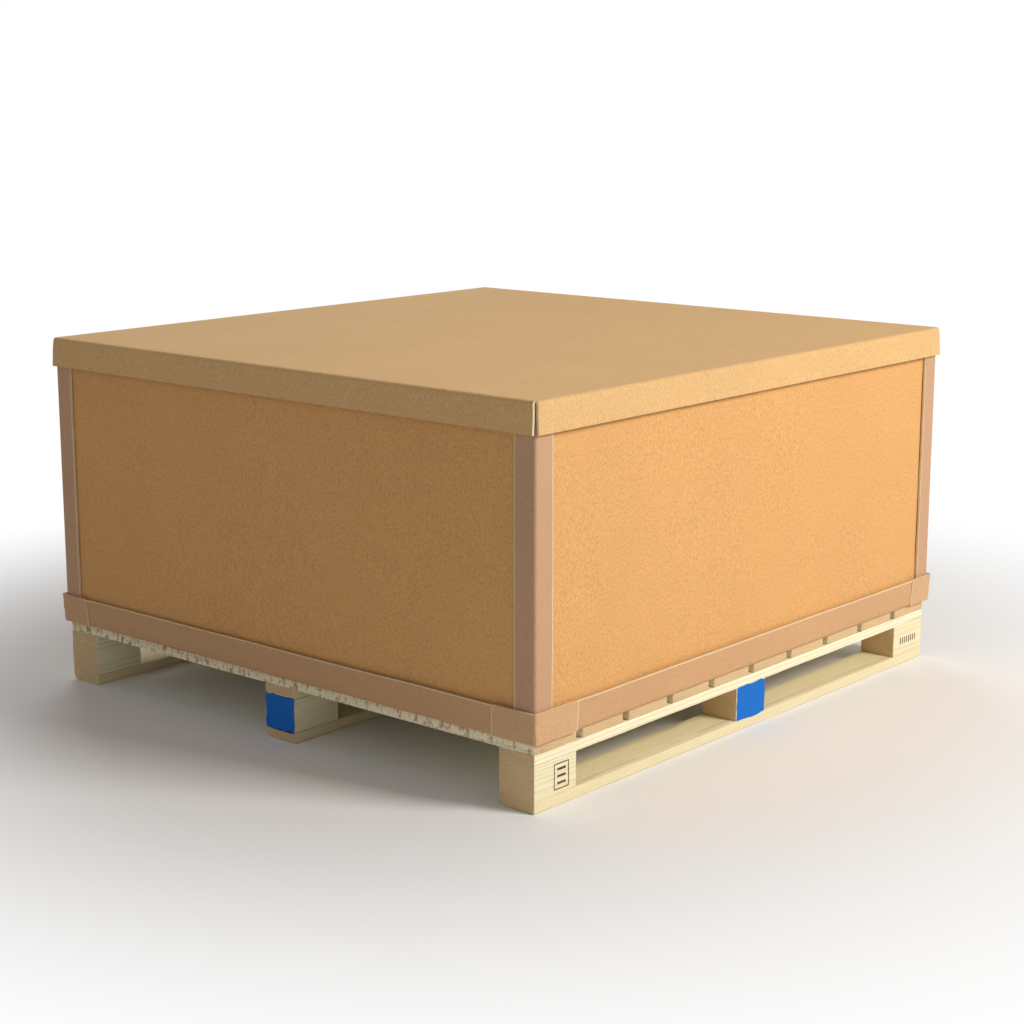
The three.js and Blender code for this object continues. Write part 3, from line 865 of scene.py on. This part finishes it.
def corner_patch(name, seed):
    """A bent patch whose bottom is tucked in and whose free ends are cut askew, round at the top."""
    low, high = np.array(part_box(f"corner_patch_{name}"))
    rng = np.random.default_rng(seed)
    sign, outer = corner_frame(name, low, high)
    size = (high - low)[:2]
    section, tip = angle_section(*size, PATCH_THICKNESS, PATCH_RADIUS)
    height = np.concatenate([np.linspace(low[2], high[2] - PATCH_ROUND, 12)[:-1],
                             high[2] - PATCH_ROUND * (1 - np.sin(np.linspace(0, np.pi / 2, 9)))])
    share = (height - low[2]) / (high[2] - low[2])
    over = np.clip((height - high[2] + PATCH_ROUND) / PATCH_ROUND, 0, 1)
    rounded = PATCH_ROUND * 0.7 * (1 - np.sqrt(1 - over**2))
    skew = rng.uniform(0.4, 1.0, 2) * PATCH_SKEW * (high[2] - low[2])
    tuck = PATCH_TUCK * (1 - share) ** 0.8
    crease = PATCH_CREASE * (1 + noise_2d(share[:, None] * 1.2, section[None, :, 0] * 14, seed))
    stand = tuck[:, None] + crease
    on_a = np.clip((section[:, 0] - PATCH_RADIUS) / (size[0] - PATCH_RADIUS), 0, 1)
    on_b = np.clip((section[:, 1] - PATCH_RADIUS) / (size[1] - PATCH_RADIUS), 0, 1)
    a = section[:, 0] - (skew[0] * share + rounded)[:, None] * on_a + np.where(on_a > 0, 0, stand)
    b = section[:, 1] - (skew[1] * share + rounded)[:, None] * on_b + np.where(on_b > 0, 0, stand)
    points = upright_points(sign, outer, a, b, height)
    faces = outward(points, folded_tube(points))
    return new_piece(f"patch_{name}", points, faces, [patch_kraft, raw_edge], (f"corner_patch_{name}",),
                     face_material=cut_faces(*points.shape[:2], tip, rim=1))


for seed, corner_name in enumerate(CORNERS):
    corner_patch(corner_name, FIRST_SEED["patch"] + seed)
print("Patches:", len(CORNERS))

# %% [markdown]
# ## The lid
# The lid is one sheet folded down on four sides. Nothing joins the lips, so each corner is an open
# slit, and every lip springs out a little from its round fold. Two opposite lips and the top are
# one closed profile carried across the box, and the other two lips are profiles carried along it.

# %% Lid surfaces
LID_BOARD = 0.004
LID_RADIUS = 0.006
LIP_FLARE = 0.0036
SPRING = 0.0012
CORNER_CUT = 0.0013
LIP_SPREAD = 0.004
LIP_ROOM = 0.0003
TOP_SAG = 0.0011
SAG_FADE = 0.12
LID_RINGS = 46

lid_low, lid_high = np.array(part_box("lid"))
fold_x = lid_high[0] - LIP_SPREAD - LID_RADIUS
fold_y = lid_high[1] - LIP_SPREAD - LID_RADIUS


def lip_profile(steps=8, straight_steps=9):
    """Half a lid's outline from the fold's start to the lip's edge: (outward, up, share of the lip).

    A quarter round less the flare angle, and then a straight lip along the flare's slope.
    """
    depth = lid_high[2] - lid_low[2] - LIP_ROOM
    flare = np.arcsin(LIP_FLARE / depth)
    turn = np.linspace(np.pi / 2, flare, steps)
    straight = (depth - LID_RADIUS + LID_RADIUS * np.sin(flare)) / np.cos(flare)
    share = np.linspace(0, 1, straight_steps)[1:]
    down = np.array([np.sin(flare), -np.cos(flare)])
    outlines = []
    for radius in (LID_RADIUS, LID_RADIUS - LID_BOARD):
        arc = radius * np.stack([np.cos(turn), np.sin(turn)], axis=-1)
        lip = arc[-1] + down * straight * share[:, None]
        outlines.append(np.concatenate([arc, lip]) - [0, LID_RADIUS])
    lip_share = np.concatenate([np.zeros(steps), share])
    return outlines[0], outlines[1], lip_share


def top_sag(x, y):
    """How far the top sheet dips: a gentle wander that fades to nothing at the folds."""
    edge = np.clip(np.minimum(fold_x - np.abs(x), fold_y - np.abs(y)) / SAG_FADE, 0, 1)
    return -TOP_SAG * edge * np.clip(1.2 + noise_2d(x * 1.3, y * 1.3, 17), 0, 2.4) / 2


def lip_spring(s, share, seed):
    """How far a lip's point is drawn back in: a wander along the fold that grows down the lip."""
    return -SPRING * share * np.clip(1 + noise_1d(s * 0.9, seed), 0, 2) / 2


# %% Top and lips
def lid_shell_across():
    """The top with its left and right lips: one closed profile in X and Z, carried along Y."""
    outer, inner, share = lip_profile()
    middle = np.linspace(fold_x, -fold_x, 42)[1:-1]
    flat = np.zeros_like(middle)
    x = np.concatenate([fold_x + outer[::-1, 0], middle, -fold_x - outer[:, 0],
                        -fold_x - inner[::-1, 0], -middle, fold_x + inner[:, 0]])
    z = np.concatenate([outer[::-1, 1], flat, outer[:, 1], inner[::-1, 1], flat - LID_BOARD, inner[:, 1]])
    lip = np.concatenate([share[::-1], flat, share, share[::-1], flat, share])
    y_rings = np.linspace(-fold_y, fold_y, LID_RINGS)
    y = np.repeat(y_rings[:, None], len(x), axis=1)
    y = y * (1 + CORNER_CUT / fold_y * np.clip(lip * 3, 0, 1))
    spring = np.where(x > 0, lip_spring(y, lip, 41), -lip_spring(y, lip, 42))
    sag = np.where(lip > 0, 0, top_sag(x[None], y))
    points = np.stack([x + spring, y, lid_high[2] + z + sag], axis=-1)
    return points, outward(points, folded_tube(points))


def lid_shell_along(sign, seed):
    """A front or back lip: its closed profile in Y and Z, carried along the fold."""
    outer, inner, share = lip_profile()
    out = np.concatenate([outer[:, 0], inner[::-1, 0]])
    up = np.concatenate([outer[:, 1], inner[::-1, 1]])
    lip = np.concatenate([share, share[::-1]])
    x = np.linspace(-fold_x, fold_x, LID_RINGS)[:, None] * np.ones(len(out))
    x = x * (1 + CORNER_CUT / fold_x * np.clip(lip * 3, 0, 1))
    y = sign * (fold_y + out + lip_spring(x, lip, seed))
    points = np.stack([x, y, lid_high[2] + up + 0 * x], axis=-1)
    return points, outward(points, folded_tube(points))


lid_shells = [lid_shell_across(), lid_shell_along(-1, 43), lid_shell_along(1, 44)]
lid_points, lid_faces = join_shells(lid_shells)
lid_cuts = [cut_faces(*points.shape[:2], points.shape[1] // 2) for points, _ in lid_shells]
new_piece("lid_sheet", lid_points, lid_faces, [lid_kraft, raw_edge], ("lid",), body="lid",
          face_material=np.concatenate(lid_cuts))
print("Lid points:", len(lid_points))

# %% [markdown]
# ## Paint
# One stroke of blue paint marks the middle block of each side. A brush leaves a wandering edge, so
# each mark is a thin sheet of paint whose outline is pulled in by noise, rounded off at its rim.

# %% Paint marks
PAINT_BLUE = linear(0, 110, 206)
RIM_SHARE = 0.35
RIM_REACH = 0.06
PULL_SIDE = 0.0012
PULL_END = 0.002


def make_paint():
    """Satin blue: brush streaks in colour and bump."""
    material, tree, shader = new_material("blue_paint")
    place = object_place(tree)
    streak = noise(tree, stretch(tree, place, (420.0, 420.0, 40.0)), 1.0, 4.0, 0.6)
    cover = noise(tree, place, 60.0, 3.0)
    base = np.array(PAINT_BLUE)
    colour = blend(tree, streak, tuple(base * 0.82), tuple(np.minimum(base * 1.22, 0.95)))
    colour = blend(tree, math(tree, "MULTIPLY", cover, 0.4), colour, tuple(base * 0.7))
    tree.links.new(colour, shader.inputs["Base Color"])
    set_gloss(shader, 0.55, 0.2)
    bump(tree, shader, streak, 0.0006)
    return material


paint = make_paint()


def paint_mark(side, seed):
    """A sheet on a block's outward face, from its low to its high edge, with a wandering outline."""
    low, high = np.array(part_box(f"paint_mark_{side}"))
    across, sign = SIDES[side]
    along = 1 - across
    width = (high - low)[along] / 2
    height = (high - low)[2] / 2
    face = high[across] if sign > 0 else low[across]
    thickness = (high - low)[across]
    rim = np.array([0.0, 0.012, 0.03])
    steps = np.concatenate([rim, np.linspace(RIM_REACH, 1 - RIM_REACH, 24), 1 - rim[::-1]]) * 2 - 1
    v, u = np.meshgrid(steps, steps, indexing="ij")
    pull_side = PULL_SIDE * (1 + noise_1d(v * 0.4 + (u > 0) * 7, seed))
    pull_end = PULL_END * (1 + noise_1d(u * 0.5 + (v > 0) * 9, seed + 5))
    place_u = u * (width - np.clip(pull_side, 0, None) * np.abs(u) ** 4)
    place_v = v * (height - np.clip(pull_end, 0, None) * np.abs(v) ** 4)
    rise = np.minimum(1 - np.abs(u), 1 - np.abs(v)) / RIM_REACH
    raised = thickness * (RIM_SHARE + (1 - RIM_SHARE) * np.sqrt(np.clip(rise, 0, 1)))
    back = np.stack([place_u[:, ::-1], place_v[:, ::-1], 0 * raised], axis=-1)
    front = np.stack([place_u, place_v, raised], axis=-1)
    sheet = np.concatenate([front, back], axis=1)
    points = np.zeros_like(sheet)
    points[..., along] = (low + high)[along] / 2 + sheet[..., 0]
    points[..., 2] = (low + high)[2] / 2 + sheet[..., 1]
    points[..., across] = face - sign * (thickness - sheet[..., 2])
    faces = outward(points, tube(points))
    return new_piece(f"paint_{side}", points, faces, [paint], (f"paint_mark_{side}",))


for seed, side in enumerate(SIDES):
    paint_mark(side, FIRST_SEED["paint"] + 3 * seed)
print("Paint marks:", len(SIDES))

# %% [markdown]
# ## Ink marks
# A timber yard stamps its blocks. These marks say nothing: the near block carries a frame with
# three bars in it, and the far block a row of short strokes. The ink is a film a quarter of a
# millimetre thick, worn through where the wood's grain stands up.

# %% Bars on a side's face
def face_bars(name, side, centre, depths, bars, material):
    """Flat bars (along, up, width, height) about a centre, between two depths across the side."""
    across, _ = SIDES[side]
    shells = []
    for along_place, up, width, height in bars:
        ring = np.array([(-1, 0), (1, 0), (1, 1), (-1, 1)])
        points = np.zeros((2, 4, 3))
        points[..., 1 - across] = centre[1 - across] + along_place + np.array([[-1], [1]]) * width / 2
        points[..., across] = np.array(depths)[ring[:, 1]]
        points[..., 2] = centre[2] + up + ring[:, 0] * height / 2
        shells.append((points, outward(points, tube(points))))
    points, faces = join_shells(shells)
    return new_piece(name, points, faces, [material], ())


# %% Stamps on two blocks
INK_FILM = 0.00025
STROKE = 0.0016


def make_ink():
    """Dark brown ink that noise has worn back to the colour of the wood."""
    material, tree, shader = new_material("stamp_ink")
    place = object_place(tree)
    grain = noise(tree, stretch(tree, place, (60.0, 400.0, 900.0)), 1.0, 3.0, 0.6)
    worn = math(tree, "MULTIPLY", math(tree, "SUBTRACT", grain, 0.5), 2.5, clamp=True)
    tree.links.new(blend(tree, worn, linear(66, 50, 36), linear(206, 178, 130)), shader.inputs["Base Color"])
    shader.inputs["Roughness"].default_value = 0.85
    bump(tree, shader, grain, 0.0003)
    return material


ink = make_ink()
FRAME_WIDTH = 0.034
FRAME_HEIGHT = 0.04
FRAME_SHIFT = 0.014
BAR_WIDTH = 0.02
BAR_GAP = 0.011
ROW_HALF = 0.026
ROW_DROP = 0.002
ROW_HEIGHT = 0.012
frame_bars = [(0, side * FRAME_HEIGHT / 2, FRAME_WIDTH, STROKE) for side in (-1, 1)]
frame_bars += [(side * FRAME_WIDTH / 2, 0, STROKE, FRAME_HEIGHT) for side in (-1, 1)]
frame_bars += [(0, rise, BAR_WIDTH, 2.4 * STROKE) for rise in (-BAR_GAP, 0.0, BAR_GAP)]
shifted_bars = [(x + FRAME_SHIFT, z, wide, tall) for x, z, wide, tall in frame_bars]
stroke_bars = [(x, -ROW_DROP, STROKE * 1.6, ROW_HEIGHT) for x in np.linspace(-ROW_HALF, ROW_HALF, 8)]
for stamp_name, block, bars in (
    ("stamp_frame", "block_front_left", shifted_bars),
    ("stamp_strokes", "block_front_right", stroke_bars),
):
    low, high = np.array(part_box(block))
    face_bars(stamp_name, "front", (low + high) / 2, (low[1], low[1] - INK_FILM), bars, ink)
print("Stamps: a frame with three bars, and a row of strokes")

# %% [markdown]
# ## What stays as it is
# The base panel and its nails are simple solids that only show when the lid is lifted. They keep
# their own shapes, and only take a finish.

# %% Finishes for carried-over solids
def finish_node(node, material):
    """Puts a material in every slot of a node's own object."""
    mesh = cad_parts[node].data
    for index in range(len(mesh.materials)):
        mesh.materials[index] = material


def make_steel():
    """Bright drawn wire: a metal with fine scratches in its colour and bump."""
    material, tree, shader = new_material("nail_steel")
    place = object_place(tree)
    scratch = noise(tree, stretch(tree, place, (900.0, 900.0, 90.0)), 1.0, 3.0)
    tree.links.new(blend(tree, scratch, linear(120, 118, 114), linear(182, 180, 176)),
                   shader.inputs["Base Color"])
    shader.inputs["Metallic"].default_value = 1.0
    shader.inputs["Roughness"].default_value = 0.38
    bump(tree, shader, scratch, 0.0003)
    return material


steel = make_steel()
finish_node("base_panel", base_kraft)
for nail in range(1, 9):
    finish_node(f"base_nail_{nail}", steel)

# %% [markdown]
# ## Floor
# The box needs a ground to throw its shadow on, but no horizon. So the floor is a wide pale disc
# that turns to plain white away from the box, for the camera alone. It is a stage and no part of
# the object.

# %% Floor
FLOOR_RADIUS = 14.0
FLOOR_GAP = 0.0003
FLOOR_NEAR = 0.75
FLOOR_FAR = 1.75


def add_floor():
    """A wide pale disc on the ground. Far from the box the camera sees it white."""
    turn = np.linspace(0, 2 * np.pi, 96, endpoint=False)
    points = np.stack([np.cos(turn), np.sin(turn), np.zeros_like(turn)], axis=-1) * FLOOR_RADIUS
    points[:, 2] = -FLOOR_GAP
    mesh = bpy.data.meshes.new("floor")
    mesh.from_pydata(points.tolist(), [], [list(range(len(points)))])
    material, tree, shader = new_material("floor_paint")
    shader.inputs["Base Color"].default_value = (0.88, 0.88, 0.88, 1)
    set_gloss(shader, 0.9, 0.1)
    place = object_place(tree)
    away = add_node(tree, "VectorMath", operation="LENGTH")
    tree.links.new(place, away.inputs[0])
    fade = add_node(tree, "MapRange", interpolation_type="SMOOTHSTEP", From_Min=FLOOR_NEAR,
                    From_Max=FLOOR_FAR)
    tree.links.new(away.outputs["Value"], fade.inputs["Value"])
    path = add_node(tree, "LightPath")
    factor = math(tree, "MULTIPLY", fade.outputs["Result"], path.outputs["Is Camera Ray"])
    white = add_node(tree, "Emission", Strength=1.0)
    mixed = add_node(tree, "MixShader")
    tree.links.new(factor, mixed.inputs[0])
    tree.links.new(shader.outputs[0], mixed.inputs[1])
    tree.links.new(white.outputs[0], mixed.inputs[2])
    tree.links.new(mixed.outputs[0], tree.nodes["Material Output"].inputs["Surface"])
    mesh.materials.append(material)
    floor = bpy.data.objects.new("floor", mesh)
    bpy.context.scene.collection.objects.link(floor)


add_floor()
